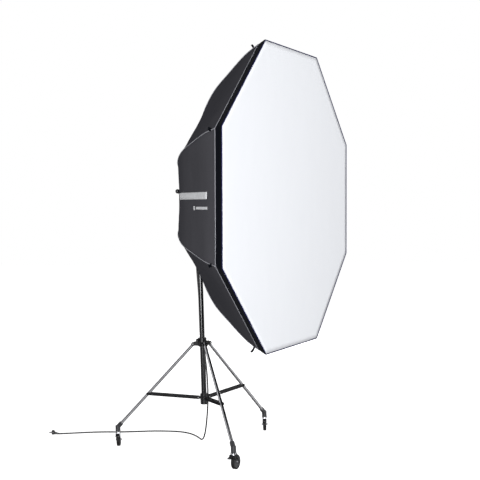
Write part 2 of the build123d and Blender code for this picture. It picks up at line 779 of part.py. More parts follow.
socket_start = leg_length - 40.0
tube_end = leg_length - 18.0
for name, azimuth in leg_azimuths.items():
    upright = upright_plane(azimuth)

    with BuildPart() as leg_tube:
        with BuildSketch(across_leg(azimuth, -12)):
            Circle(leg_radius)
            Circle(leg_radius - 1.5, mode=Mode.SUBTRACT)
        extrude(amount=tube_end + 12)
        with BuildSketch(upright):
            with Locations(leg_top):
                Circle(collar_pin_radius + running_gap)
        extrude(amount=30, both=True, mode=Mode.SUBTRACT)
        with BuildSketch(upright):
            with Locations(brace_end):
                Circle(4)
        extrude(amount=leg_radius + 0.2, both=True)
    save(f"leg_tube_{name}", leg_tube.part)

    with BuildPart() as brace:
        with BuildSketch(upright):
            with Locations(Location(((hub_pivot[0] + brace_end[0]) / 2, (hub_pivot[1] + brace_end[1]) / 2, 0),
                                    (0, 0, brace_rise))):
                SlotCenterToCenter(brace_length, brace_height)
            with Locations(hub_pivot):
                Circle(hub_pin_radius + running_gap, mode=Mode.SUBTRACT)
        extrude(amount=flange_inner + flange_thickness, both=True)
        with BuildSketch(upright):
            with Locations(Location(((hub_pivot[0] + brace_end[0]) / 2, (hub_pivot[1] + brace_end[1]) / 2, 0),
                                    (0, 0, brace_rise))):
                Rectangle(brace_length + 2 * brace_height, brace_height + 2)
                with Locations(((25 - 110) / 2, -brace_height / 2 + 1)):
                    Rectangle(brace_length - 25 - 110, 2, mode=Mode.SUBTRACT)
        extrude(amount=flange_inner, both=True, mode=Mode.SUBTRACT)
        for side in (-1, 1):
            with BuildSketch(upright.offset(side * (flange_inner + flange_thickness + 2))):
                with Locations(brace_end):
                    RegularPolygon(7, 6)
            extrude(amount=2, both=True)
    save(f"brace_{name}", brace.part)

    foot_x, foot_z = leg_foot
    foot_point = upright.from_local_coords(Vector(foot_x, 0, 0))
    stem_plane = Plane(origin=foot_point)
    with BuildPart() as leg_foot_part:
        with BuildSketch(across_leg(azimuth, socket_start)):
            Circle(leg_radius + 4.5)
        extrude(amount=leg_length - socket_start)
        with BuildSketch(stem_plane.offset(108)):
            Circle(17)
        extrude(amount=40)
        with BuildSketch(across_leg(azimuth, socket_start - 1)):
            Circle(leg_radius)
        extrude(amount=tube_end - socket_start + 1, mode=Mode.SUBTRACT)
        with BuildSketch(stem_plane.offset(100)):
            Circle(stem_radius + running_gap)
        extrude(amount=30, mode=Mode.SUBTRACT)
        with BuildSketch(stem_plane.offset(80)):
            Circle(40)
        extrude(amount=28, mode=Mode.SUBTRACT)
    save(f"leg_foot_{name}", leg_foot_part.part)

    # The caster's own upright plane: local x points from the stem towards the wheel
    swivel = upright_plane(caster_azimuths[name], origin=foot_point)
    axle_at = (trail, wheel_radius)
    with BuildPart() as caster_fork:
        with BuildSketch(stem_plane.offset(98)):
            Circle(20)
        extrude(amount=9)
        with BuildSketch(stem_plane.offset(106)):
            Circle(stem_radius)
        extrude(amount=22)
        with BuildSketch(swivel):
            with BuildLine():
                Polyline((-28, 99), (-28, 84), (axle_at[0] - 9, axle_at[1]), (axle_at[0] + 9, axle_at[1]),
                         (20, 99), close=True)
            make_face()
            with Locations(axle_at):
                Circle(9)
        extrude(amount=15.5, both=True)
        with BuildSketch(swivel):
            with Locations((-2, 46)):
                Rectangle(120, 92)
        extrude(amount=13, both=True, mode=Mode.SUBTRACT)
        with BuildSketch(swivel):
            with Locations(axle_at):
                Circle(axle_radius)
        extrude(amount=15.5, both=True)
        for side in (-1, 1):
            with BuildSketch(swivel.offset(side * 18.5)):
                with Locations(axle_at):
                    RegularPolygon(7.5, 6)
            extrude(amount=3.5, both=True)
    save(f"caster_fork_{name}", caster_fork.part)

    with BuildPart() as caster_wheel:
        with BuildSketch(swivel):
            with Locations(axle_at):
                Circle(tyre_inner_radius)
        extrude(amount=wheel_half_width - 0.5, both=True)
        for side in (-1, 1):
            with BuildSketch(swivel.offset(side * (wheel_half_width - 0.5))):
                with Locations(axle_at):
                    Circle(tyre_inner_radius - 5)
                    Circle(11, mode=Mode.SUBTRACT)
            extrude(amount=-side * 5, mode=Mode.SUBTRACT)
        with BuildSketch(swivel):
            with Locations(axle_at):
                Circle(axle_radius + running_gap)
        extrude(amount=wheel_half_width, both=True, mode=Mode.SUBTRACT)
    save(f"caster_wheel_{name}", caster_wheel.part)

    with BuildPart() as caster_tyre:
        with BuildSketch(swivel):
            with Locations(axle_at):
                Circle(wheel_radius)
        extrude(amount=wheel_half_width, both=True)
        fillet(caster_tyre.edges().filter_by(GeomType.CIRCLE), radius=4)
        with BuildSketch(swivel):
            with Locations(axle_at):
                Circle(tyre_inner_radius)
        extrude(amount=wheel_half_width, both=True, mode=Mode.SUBTRACT)
    save(f"caster_tyre_{name}", caster_tyre.part)

    with BuildPart() as caster_brake:
        with BuildSketch(swivel):
            with BuildLine():
                Polyline((-31, 95), (-30, 91), (-52, 80), (-66, 80), (-66, 83.5), (-53, 84), close=True)
            make_face()
        extrude(amount=pedal_half_width, both=True)
    save(f"caster_brake_{name}", caster_brake.part)

# ---------------------------------------------------------------- mains lead and plug
lead_points = [(x, pole_y + y, z) for x, y, z in lead_route]
lead_turns = tube_turns(lead_points)
with BuildPart() as mains_lead:
    with BuildLine() as lead_line:
        FilletPolyline(*lead_points, radius=lead_turns)
    with BuildSketch(Plane(origin=lead_line.line @ 0, z_dir=lead_line.line % 0)):
        Circle(lead_radius)
    sweep()
save("mains_lead", mains_lead.part)

plug_start = Vector(*lead_points[-1])
plug_direction = (plug_start - Vector(*lead_points[-2])).normalized()
plug_radius = 17.0
plug_plane = Plane(
    origin=plug_start, x_dir=Vector(-plug_direction.Y, plug_direction.X, 0), z_dir=plug_direction
)
plug_rise = plug_radius - lead_radius + 0.2
with BuildPart() as mains_plug:
    with BuildSketch(plug_plane):
        Circle(lead_radius + 0.6)
    with BuildSketch(plug_plane.offset(26)):
        with Locations((0, 6)):
            Circle(9)
    with BuildSketch(plug_plane.offset(34)):
        with Locations((0, plug_rise)):
            Circle(plug_radius - 1)
    loft(ruled=True)
    with BuildSketch(plug_plane.offset(34)):
        with Locations((0, plug_rise)):
            Circle(plug_radius)
    extrude(amount=18)
    for side in (-9.5, 9.5):
        with BuildSketch(plug_plane.offset(52)):
            with Locations((side, plug_rise)):
                Circle(2.4)
        extrude(amount=19)
save("mains_plug", mains_plug.part)

# ---------------------------------------------------------------- printed facts
print(f"leg fold {leg_fold:.3f} deg, brace fold {brace_fold:.3f} deg, collar travel {collar_travel:.2f} mm")
print("lead turn radii", [round(radius) for radius in lead_turns])
section_area = pi * lead_radius**2
lead_length = lead_line.wire().length
print(f"lead length {lead_length:.1f}, volume ratio {mains_lead.part.volume / (section_area * lead_length):.4f}")
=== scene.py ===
import bpy
import bmesh
import json
from math import atan2, cos, hypot, pi, radians, sin, tan
from mathutils import Matrix, Vector, noise
from mathutils.geometry import interpolate_bezier


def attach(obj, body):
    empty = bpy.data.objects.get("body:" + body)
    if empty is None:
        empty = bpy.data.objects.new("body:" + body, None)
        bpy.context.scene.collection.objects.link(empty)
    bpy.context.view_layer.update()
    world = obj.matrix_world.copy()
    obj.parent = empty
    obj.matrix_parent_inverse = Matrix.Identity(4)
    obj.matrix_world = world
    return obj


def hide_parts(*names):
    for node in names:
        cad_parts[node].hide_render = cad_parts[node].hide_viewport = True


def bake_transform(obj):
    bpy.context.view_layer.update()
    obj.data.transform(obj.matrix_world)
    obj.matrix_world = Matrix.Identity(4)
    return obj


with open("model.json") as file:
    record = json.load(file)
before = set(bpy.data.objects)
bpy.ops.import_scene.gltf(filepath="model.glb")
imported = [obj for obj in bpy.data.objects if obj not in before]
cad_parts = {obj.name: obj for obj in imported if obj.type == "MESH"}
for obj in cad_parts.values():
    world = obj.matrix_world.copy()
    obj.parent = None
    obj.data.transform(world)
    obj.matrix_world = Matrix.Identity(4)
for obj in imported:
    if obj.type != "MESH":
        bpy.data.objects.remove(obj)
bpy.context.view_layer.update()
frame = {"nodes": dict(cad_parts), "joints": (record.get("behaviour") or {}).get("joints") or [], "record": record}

scene = bpy.context.scene
joints = {joint["name"]: joint for joint in frame["joints"]}
poleY = joints["head_pan"]["pos_m"][1]

# the softbox's own space, from the middle of its front: x sideways, y up the front, z out of it
sides = 8
halfSide = pi / sides
ringDepth = 0.606
facing = Vector(joints["softbox_turn"]["axis"])
frontCentre = Vector(joints["softbox_turn"]["pos_m"]) + facing * ringDepth
softboxSpace = Matrix.Translation(frontCentre) @ Matrix((
    Vector((1, 0, 0)), facing.cross(Vector((1, 0, 0))), facing)).transposed().to_4x4()

print("stage: camera")
cameraSettings = {
    "place": (-5.560, -3.1526, 1.533),
    "yaw": -62.54, "pitch": 1.178, "roll": -1.837,
    "lens": 71.3, "sensor": 36.0,
}


def makeCamera(s):
    yaw, pitch, roll = radians(s["yaw"]), radians(s["pitch"]), radians(s["roll"])
    forward = Vector((-sin(yaw) * cos(pitch), cos(yaw) * cos(pitch), -sin(pitch)))
    right = Vector((cos(yaw), sin(yaw), 0))
    up = right.cross(forward)
    turnedRight = right * cos(roll) + up * sin(roll)
    turnedUp = up * cos(roll) - right * sin(roll)
    data = bpy.data.cameras.new("studioCamera")
    data.lens, data.sensor_width, data.clip_end = s["lens"], s["sensor"], 60
    camera = bpy.data.objects.new("studioCamera", data)
    scene.collection.objects.link(camera)
    turn = Matrix((turnedRight, turnedUp, -forward)).transposed().to_4x4()
    camera.matrix_world = Matrix.Translation(s["place"]) @ turn
    scene.camera = camera


makeCamera(cameraSettings)


class Wire:
    # one output of a node, with arithmetic on its values
    def __init__(self, shading, socket):
        self.shading, self.socket = shading, socket

    def __add__(self, other): return self.shading.math("ADD", self, other)
    def __radd__(self, other): return self.shading.math("ADD", other, self)
    def __sub__(self, other): return self.shading.math("SUBTRACT", self, other)
    def __rsub__(self, other): return self.shading.math("SUBTRACT", other, self)
    def __mul__(self, other): return self.shading.math("MULTIPLY", self, other)
    def __rmul__(self, other): return self.shading.math("MULTIPLY", other, self)
    def __gt__(self, other): return self.shading.math("GREATER_THAN", self, other)
    def __lt__(self, other): return self.shading.math("LESS_THAN", self, other)
    def sine(self): return self.shading.math("SINE", self)
    def size(self): return self.shading.math("ABSOLUTE", self)


class Shading:
    # a node tree, with one method that makes any node
    def __init__(self, owner):
        owner.use_nodes = True
        self.owner, self.tree = owner, owner.node_tree

    def node(self, kind, settings=None, sockets=None, out=0):
        made = self.tree.nodes.new(kind)
        for name, value in (settings or {}).items():
            if name == "stops":
                ramp = made.color_ramp.elements
                ramp[0].position, ramp[0].color = value[0]
                ramp[1].position, ramp[1].color = value[-1]
                for position, colour in value[1:-1]:
                    ramp.new(position).color = colour
            else:
                setattr(made, name, value)
        for name, value in (sockets or {}).items():
            self.feed(made.inputs[name], value)
        return Wire(self, made.outputs[out])

    def feed(self, socket, value):
        if isinstance(value, Wire):
            self.tree.links.new(value.socket, socket)
        else:
            socket.default_value = value

    def math(self, operation, *values):
        return self.node("ShaderNodeMath", {"operation": operation}, dict(enumerate(values)))

    def mixColour(self, factor, first, second):
        return self.node("ShaderNodeMix", {"data_type": "RGBA"},
                         {0: factor, 6: first, 7: second}, 2)

    def coordinates(self, kind="Object"):
        return self.node("ShaderNodeTexCoord", out=kind)

    def separate(self, vector):
        node = self.node("ShaderNodeSeparateXYZ", sockets={0: vector}).socket.node
        return [Wire(self, output) for output in node.outputs]

    def stretched(self, vector, scale):
        return self.node("ShaderNodeMapping", sockets={"Vector": vector, "Scale": scale})

    def cloud(self, vector, scale, detail=3.0, roughness=0.55):
        return self.node("ShaderNodeTexNoise", sockets={
            "Vector": vector, "Scale": scale, "Detail": detail, "Roughness": roughness})

    def between(self, value, low, high):
        return self.node("ShaderNodeMapRange", sockets={0: value, 3: low, 4: high})

    def threshold(self, value, start, end):
        # black below start, white above end
        return self.node("ShaderNodeValToRGB", {
            "stops": [(start, (0, 0, 0, 1)), (end, (1, 1, 1, 1))]}, {0: value})

    def bump(self, height, distance, strength=1.0):
        return self.node("ShaderNodeBump", sockets={
            "Height": height, "Distance": distance, "Strength": strength})


class Finish(Shading):
    def __init__(self, name, **fixed):
        super().__init__(bpy.data.materials.new(name))
        self.shader = self.tree.nodes["Principled BSDF"]
        for socket, value in fixed.items():
            self.shader.inputs[socket.replace("_", " ")].default_value = value

    def varies(self, **links):
        for socket, value in links.items():
            self.feed(self.shader.inputs[socket.replace("_", " ")], value)
        return self.owner


def rgba(colour, factor=1.0):
    return (*(part * factor for part in colour), 1.0)


print("stage: finishes")


dustColour = (0.35, 0.34, 0.33, 1)
scratchColour = (0.28, 0.28, 0.28, 1)
pitColour = (0.16, 0.15, 0.15, 1)
clothMix = {
    # shares of the tone and of the height, and the stitch row's measures
    "weaveTone": 0.25, "slubTone": 0.35, "creaseTone": 0.4, "weaveHeight": 0.12, "slubHeight": 0.1,
    "stitchHeight": 0.6, "stitchLength": 0.006, "stitchHalf": 0.0006, "stitchGap": -0.5,
    "creaseScale": (2.2, 2.2, 0.7), "slubScale": (300, 30, 1), "depth": 0.0006, "roughSpread": 0.06,
}


def clothFinish(name, s):
    # plain weave in metres: u from the nearest seam and v along it, or object space on round cords
    mix = clothMix
    finish = Finish(name, Sheen_Weight=s.get("sheen", 0.15), Sheen_Roughness=0.45,
                    Sheen_Tint=rgba(s.get("sheenTint", (1, 1, 1))),
                    Specular_IOR_Level=s.get("gloss", 0.3))
    place = finish.coordinates()
    cloth = place if s.get("round") else finish.coordinates("UV")
    u, v, w = finish.separate(cloth)
    threads = s.get("threads", 900) * pi
    weave = ((u * threads).sine() * ((v + w) * threads).sine()) * 0.5 + 0.5
    creases = finish.cloud(finish.stretched(place, mix["creaseScale"]), 5.0, 4.0)
    slub = finish.cloud(finish.stretched(cloth, mix["slubScale"]), 1.0, 2.0)
    tone = weave * mix["weaveTone"] + slub * mix["slubTone"] + creases * mix["creaseTone"]
    colour = finish.mixColour(tone, rgba(s["dark"]), rgba(s["light"]))
    height = weave * mix["weaveHeight"] + slub * mix["slubHeight"]
    if "stitches" in s:
        dash = (v * (2 * pi / mix["stitchLength"])).sine() > mix["stitchGap"]
        row = ((u.size() - s["stitches"]).size() < mix["stitchHalf"]) * dash
        colour = finish.mixColour(row, colour, rgba(s["thread"]))
        height = height + row * mix["stitchHeight"]
    return finish.varies(
        Base_Color=colour,
        Roughness=finish.between(slub, s["rough"] - mix["roughSpread"], s["rough"] + mix["roughSpread"]),
        Normal=finish.bump(height, mix["depth"], s.get("relief", 0.5)))


mouldedMix = {"rubbedScale": 28.0, "darker": 0.8, "lighter": 1.25, "dustScale": 90.0,
              "dustStops": (0.52, 0.72), "roughSpread": 0.08, "depth": 0.0002}


def mouldedFinish(name, s):
    # moulded plastic or rubber: fine spark texture, dust and rubbed patches
    mix = mouldedMix
    finish = Finish(name, Specular_IOR_Level=s.get("gloss", 0.5))
    place = finish.coordinates()
    grain = finish.cloud(place, s.get("grain", 2500), 2.0)
    rubbed = finish.cloud(place, mix["rubbedScale"], 4.0)
    dust = finish.threshold(finish.cloud(place, mix["dustScale"], 5.0), *mix["dustStops"])
    colour = finish.mixColour(rubbed, rgba(s["colour"], mix["darker"]), rgba(s["colour"], mix["lighter"]))
    colour = finish.mixColour(dust * s.get("dust", 0.06), colour, dustColour)
    return finish.varies(
        Base_Color=colour,
        Roughness=finish.between(rubbed, s["rough"] - mix["roughSpread"], s["rough"] + mix["roughSpread"]),
        Normal=finish.bump(grain, mix["depth"], s.get("relief", 0.4)))


paintMix = {"handledScale": 11.0, "darker": 0.85, "lighter": 1.2, "scratchScale": (260, 260, 9),
            "scratchStops": (0.66, 0.69), "scratchShare": 0.12, "smoother": 0.05, "duller": 0.1,
            "coatWorn": 0.7, "depth": 0.00025}


def paintFinish(name, s):
    # paint or powder coat: orange peel, faint drawn scratches, duller handled patches
    mix = paintMix
    finish = Finish(name, Coat_Roughness=0.12, Specular_IOR_Level=s.get("gloss", 0.5),
                    Metallic=s.get("metal", 0.0))
    place = finish.coordinates()
    peel = finish.cloud(place, s.get("peel", 420), 2.0)
    handled = finish.cloud(place, mix["handledScale"], 5.0)
    drawn = finish.cloud(finish.stretched(place, mix["scratchScale"]), 1.0, 2.0)
    scratch = finish.threshold(drawn, *mix["scratchStops"])
    colour = finish.mixColour(handled, rgba(s["colour"], mix["darker"]), rgba(s["colour"], mix["lighter"]))
    colour = finish.mixColour(scratch * mix["scratchShare"], colour, scratchColour)
    return finish.varies(
        Base_Color=colour,
        Roughness=finish.between(handled, s["rough"] - mix["smoother"], s["rough"] + mix["duller"]),
        Coat_Weight=finish.between(handled, s.get("coat", 0.0), s.get("coat", 0.0) * mix["coatWorn"]),
        Normal=finish.bump(peel, mix["depth"], s.get("relief", 0.15)))


metalMix = {"smearScale": 16.0, "darker": 0.9, "lighter": 1.06, "pitScale": 520.0,
            "pitStops": (0.70, 0.76), "pitShare": 0.35, "duller": 0.1, "pitRough": 0.2, "depth": 0.0001}


def metalFinish(name, s):
    # plated or turned metal: finger marks, fine draw lines and tiny pits
    mix = metalMix
    finish = Finish(name, Metallic=1.0)
    place = finish.coordinates()
    smears = finish.cloud(place, mix["smearScale"], 5.0)
    lines = finish.cloud(finish.stretched(place, s.get("lines", (900, 900, 6))), 1.0, 2.0)
    pits = finish.threshold(finish.cloud(place, mix["pitScale"], 2.0), *mix["pitStops"])
    colour = finish.mixColour(smears, rgba(s["colour"], mix["darker"]), rgba(s["colour"], mix["lighter"]))
    colour = finish.mixColour(pits * mix["pitShare"], colour, pitColour)
    return finish.varies(
        Base_Color=colour,
        Roughness=(finish.between(smears, s["rough"], s["rough"] + mix["duller"])
                   + pits * mix["pitRough"]),
        Normal=finish.bump(lines, mix["depth"], s.get("relief", 0.12)))


glassMix = {"cloudScale": 60.0, "darker": 0.94, "duller": 0.12, "depth": 0.0003, "relief": 0.3}


def glassFinish(name, s):
    # clear glass with faint cloudy patches
    mix = glassMix
    finish = Finish(name, Transmission_Weight=s["clear"], IOR=1.47, Alpha=1.0)
    cloudy = finish.cloud(finish.coordinates(), mix["cloudScale"], 4.0)
    return finish.varies(
        Base_Color=finish.mixColour(cloudy, rgba(s["colour"], mix["darker"]), rgba(s["colour"])),
        Roughness=finish.between(cloudy, s["rough"], s["rough"] + mix["duller"]),
        Normal=finish.bump(cloudy, mix["depth"], mix["relief"]))


charcoal = {"dark": (0.053, 0.053, 0.059), "light": (0.108, 0.105, 0.116), "rough": 0.74,
            "sheen": 0.01, "sheenTint": (0.75, 0.78, 1.0), "gloss": 0.0}
black = {"dark": (0.0015, 0.002, 0.004), "light": (0.004, 0.005, 0.008), "rough": 0.8,
         "sheen": 0.01, "gloss": 0.06}
diffusion = {"dark": (0.80, 0.815, 0.85), "light": (0.87, 0.885, 0.915), "rough": 0.9,
             "threads": 1400, "sheen": 0.1, "gloss": 0.1, "relief": 0.15}
finishes = {
    "shell_cloth": clothFinish("shellCloth", {**charcoal, "stitches": 0.009,
                                              "thread": (0.09, 0.09, 0.10)}),
    "lip_cloth": clothFinish("lipCloth", {**black, "threads": 700}),
    "piping_cord": clothFinish("pipingCord", {
        "dark": (0.20, 0.20, 0.22), "light": (0.52, 0.52, 0.56), "rough": 0.55, "threads": 1300,
        "relief": 1.0, "round": True}),
    "diffuser_cloth": clothFinish("diffuserCloth", {**diffusion, "stitches": 0.012,
                                                    "thread": (0.78, 0.79, 0.82)}),
    "inner_cloth": clothFinish("innerCloth", diffusion),
    "webbing": clothFinish("webbing", {**black, "threads": 420, "relief": 1.0}),
    "sleeve_webbing": clothFinish("sleeveWebbing", {**black, "threads": 420, "relief": 1.0,
                                                    "round": True}),
    "rod": mouldedFinish("glassFibre", {"colour": (0.03, 0.03, 0.032), "rough": 0.3}),
    "ring_metal": paintFinish("anodised", {"colour": (0.10, 0.10, 0.11), "rough": 0.35, "metal": 0.8}),
    "socket_plastic": mouldedFinish("socketNylon", {"colour": (0.02, 0.02, 0.021), "rough": 0.45}),
    "pin_steel": metalFinish("turnedSteel", {"colour": (0.56, 0.56, 0.57), "rough": 0.24,
                                             "lines": (1400, 1400, 1400)}),
    "head_shell": paintFinish("headPaint", {"colour": (0.030, 0.031, 0.034), "rough": 0.42,
                                            "peel": 900, "relief": 0.5}),
    "head_panel": mouldedFinish("panelPlastic", {"colour": (0.035, 0.035, 0.038), "rough": 0.5}),
    "control_plastic": mouldedFinish("controlPlastic", {"colour": (0.09, 0.09, 0.095), "rough": 0.4}),
    "grip_rubber": mouldedFinish("gripRubber", {"colour": (0.014, 0.014, 0.014), "rough": 0.75,
                                                "gloss": 0.25, "dust": 0.15}),
    "tube_glass": glassFinish("tubeGlass", {"colour": (0.95, 0.96, 0.98), "rough": 0.05, "clear": 0.9}),
    "dome_glass": glassFinish("domeGlass", {"colour": (0.94, 0.95, 0.96), "rough": 0.3, "clear": 0.85}),
    "bracket_metal": paintFinish("bracketPaint", {"colour": (0.022, 0.022, 0.024), "rough": 0.38,
                                                  "peel": 700, "relief": 0.4}),
    "column_black": paintFinish("columnPaint", {"colour": (0.006, 0.006, 0.007), "rough": 0.18,
                                                "coat": 0.5, "gloss": 0.3}),
    "riser_chrome": metalFinish("riserPlate", {"colour": (0.62, 0.62, 0.64), "rough": 0.07}),
    "leg_chrome": metalFinish("legPlate", {"colour": (0.50, 0.50, 0.52), "rough": 0.10}),
    "fork_chrome": metalFinish("forkPlate", {"colour": (0.55, 0.55, 0.57), "rough": 0.16}),
    "casting_black": mouldedFinish("blackNylon", {"colour": (0.007, 0.007, 0.008), "rough": 0.34,
                                                  "gloss": 0.3}),
    "casting_grey": paintFinish("greyCasting", {"colour": (0.030, 0.030, 0.033), "rough": 0.34,
                                                "peel": 500, "relief": 0.5}),
    "brace_black": paintFinish("bracePaint", {"colour": (0.005, 0.005, 0.006), "rough": 0.36,
                                              "coat": 0.1, "gloss": 0.2}),
    "knob_plastic": mouldedFinish("knobPlastic", {"colour": (0.010, 0.010, 0.011), "rough": 0.32}),
    "tyre_rubber": mouldedFinish("tyreRubber", {"colour": (0.008, 0.008, 0.008), "rough": 0.6,
                                                "gloss": 0.2, "dust": 0.15}),
    "wheel_core": mouldedFinish("coreNylon", {"colour": (0.06, 0.06, 0.063), "rough": 0.4, "dust": 0.1}),
    "lead_rubber": mouldedFinish("leadRubber", {"colour": (0.008, 0.008, 0.009), "rough": 0.48,
                                                "gloss": 0.2, "dust": 0.03}),
    "plug_plastic": mouldedFinish("plugPlastic", {"colour": (0.012, 0.012, 0.013), "rough": 0.3}),
    "indicator": mouldedFinish("indicatorLens", {"colour": (0.30, 0.02, 0.01), "rough": 0.15,
                                                 "dust": 0.0}),
    "print_white": mouldedFinish("printWhite", {"colour": (0.72, 0.72, 0.73), "rough": 0.6,
                                                "dust": 0.0}),
    "edge_binding": clothFinish("edgeBinding", {
        "dark": (0.02, 0.02, 0.075), "light": (0.035, 0.035, 0.12), "rough": 0.7, "threads": 1300,
        "gloss": 0.1, "sheen": 0.0, "round": True}),
}

print("stage: hard parts")
for row in frame["record"]["subparts"]:
    for holder in frame["nodes"][row["node"]].material_slots:
        holder.material = finishes[row["material_slot"]]


def addPiece(bm, name, finish, body, space=None, smooth=True, replaced=(), wall=0.0,
             side=-1.0):
    # a finished mesh as an object at the origin, with its place in its mesh
    bmesh.ops.remove_doubles(bm, verts=bm.verts, dist=0.00002)
    bmesh.ops.recalc_face_normals(bm, faces=bm.faces)
    if space is not None:
        bmesh.ops.transform(bm, matrix=space, verts=bm.verts)
    mesh = bpy.data.meshes.new(name)
    bm.to_mesh(mesh)
    bm.free()
    mesh.materials.append(finishes[finish])
    for polygon in mesh.polygons:
        polygon.use_smooth = smooth
    piece = bpy.data.objects.new(name, mesh)
    scene.collection.objects.link(piece)
    if wall:
        thick = piece.modifiers.new("wall", "SOLIDIFY")
        thick.thickness, thick.offset = wall, side
    if body:
        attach(piece, body)
    if replaced:
        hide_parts(*replaced)
    return piece


def joinInto(bm, part):
    # a small mesh becomes part of a larger one
    joined = bpy.data.meshes.new("part")
    part.to_mesh(joined)
    part.free()
    bm.from_mesh(joined)
    bpy.data.meshes.remove(joined)


def goreAngle(place):
    # the angle of a point from the middle of its gore
    return (atan2(place.y, place.x) + halfSide) % (2 * halfSide) - halfSide


def repeatAround(bm, count):
    # copies of what is drawn so far, round the softbox axis
    drawn = bm.verts[:] + bm.edges[:] + bm.faces[:]
    for n in range(1, count):
        made = bmesh.ops.duplicate(bm, geom=drawn)["geom"]
        bmesh.ops.rotate(bm, verts=[g for g in made if isinstance(g, bmesh.types.BMVert)],
                         cent=(0, 0, 0), matrix=Matrix.Rotation(2 * pi * n / count, 3, "Z"))


def smoothLine(points, steps):
    # a soft curve through points of radius and depth
    line = []
    for n in range(len(points) - 1):
        before, start = Vector(points[max(n - 1, 0)]), Vector(points[n])
        end, after = Vector(points[n + 1]), Vector(points[min(n + 2, len(points) - 1)])
        line += interpolate_bezier(start, start + (end - before) / 6, end - (after - start) / 6,
                                   end, steps)[:-1]
    return [Vector(point[:2]) for point in line] + [Vector(points[-1])]


def acrossGore(place):
    # -1 to 1 from one rib to the next, at a point of the skin
    return tan(goreAngle(place)) / tan(halfSide)


def ribbedSkin(line, across):
    # eight gores spun from one rib line and divided between the ribs, with their cloth map
    bm = bmesh.new()
    along = bm.verts.layers.float.new("along")
    rib = [bm.verts.new((radius, 0, -depth)) for radius, depth in line]
    for first, second in zip(rib, rib[1:]):
        second[along] = first[along] + (second.co - first.co).length
    edges = [bm.edges.new(pair) for pair in zip(rib, rib[1:])]
    bmesh.ops.spin(bm, geom=rib + edges, cent=(0, 0, 0), axis=(0, 0, 1), angle=2 * pi,
                   steps=sides, use_merge=True)
    bmesh.ops.rotate(bm, verts=bm.verts, cent=(0, 0, 0), matrix=Matrix.Rotation(halfSide, 3, "Z"))
    rounds = [edge for edge in bm.edges
              if abs(edge.verts[0].co.to_2d().cross(edge.verts[1].co.to_2d())) > 1e-5]
    bmesh.ops.subdivide_edges(bm, edges=rounds, cuts=across)
    cloth = bm.loops.layers.uv.new("cloth")
    for face in bm.faces:
        for loop in face.loops:
            place = loop.vert.co
            reach = hypot(place.x, place.y)
            turn = goreAngle(place)
            half = reach * cos(turn) * tan(halfSide)
            loop[cloth].uv = (half * (1 - abs(tan(turn) / tan(halfSide))), loop.vert[along])
    return bm, along


print("stage: softbox cloth")
shell = {
    "ribs": [(1.000, 0.057), (0.944, 0.155), (0.845, 0.282), (0.720, 0.428),
             (0.562, 0.543), (0.420, 0.582), (0.130, 0.604)],
    "steps": 9, "across": 27, "pulledIn": 0.014, "creases": 0.0022, "wall": 0.0012,
    "foldScale": (2.2, 9), "rippleScale": (9, 3.0), "rippleShare": 0.5, "goreStep": 5,
    "flat": (4.6, 1.05), "area": 4.0,
}
ribLine = smoothLine(shell["ribs"], shell["steps"])
ribLength = sum((b - a).length for a, b in zip(ribLine, ribLine[1:]))


def pulledPlace(place, distance, s):
    # tension draws the cloth in between the ribs, most of all half-way down the shell
    across = acrossGore(place)
    share = min(max(distance / ribLength, 0), 1)
    inward = s["pulledIn"] * sin(pi * share) ** 0.6 * (1 - across * across)
    gore = atan2(place.y, place.x) // (2 * halfSide)
    fold = noise.noise(Vector((across * s["foldScale"][0], gore * s["goreStep"],
                               distance * s["foldScale"][1])))
    ripple = noise.noise(Vector((across * s["rippleScale"][0], 3.0, distance * s["rippleScale"][1])))
    crumple = fold + s["rippleShare"] * ripple
    inward += s["creases"] * crumple * (1 - across ** 8) * min(share, 1 - share) * 4
    reach = hypot(place.x, place.y)
    return Vector((place.x * (1 - inward / reach), place.y * (1 - inward / reach), place.z))


bm, along = ribbedSkin(ribLine, shell["across"])
for vert in bm.verts:
    vert.co = pulledPlace(vert.co, vert[along], shell)
shellPiece = addPiece(bm, "shellSkin", "shell_cloth", "softbox", softboxSpace,
                      replaced=["shell_panels"], wall=shell["wall"])

lip = {
    "line": [(1.0210, 0.0040), (1.0245, 0.0004), (1.0283, 0.0030),
             (1.0277, 0.0080), (1.0150, 0.0330), (1.0030, 0.0550)], "steps": 4,
    "across": 31, "wave": 0.0012, "drawnIn": 0.0015, "easedOver": 0.02, "wall": 0.0009,
    "flat": (6.3, 0.066),
}
bm, along = ribbedSkin(smoothLine(lip["line"], lip["steps"]), lip["across"])
for vert in bm.verts:
    across = acrossGore(vert.co)
    wave = noise.noise(Vector((across * 5, atan2(vert.co.y, vert.co.x), 4.0))) * (1 - across ** 6)
    drawn = lip["wave"] * wave + lip["drawnIn"] * (1 - across ** 2)
    vert.co.xy *= 1 - drawn * min(vert[along] / lip["easedOver"], 1)
lipPiece = addPiece(bm, "lipBand", "lip_cloth", "softbox", softboxSpace,
                    replaced=["rim_lip"], wall=lip["wall"])


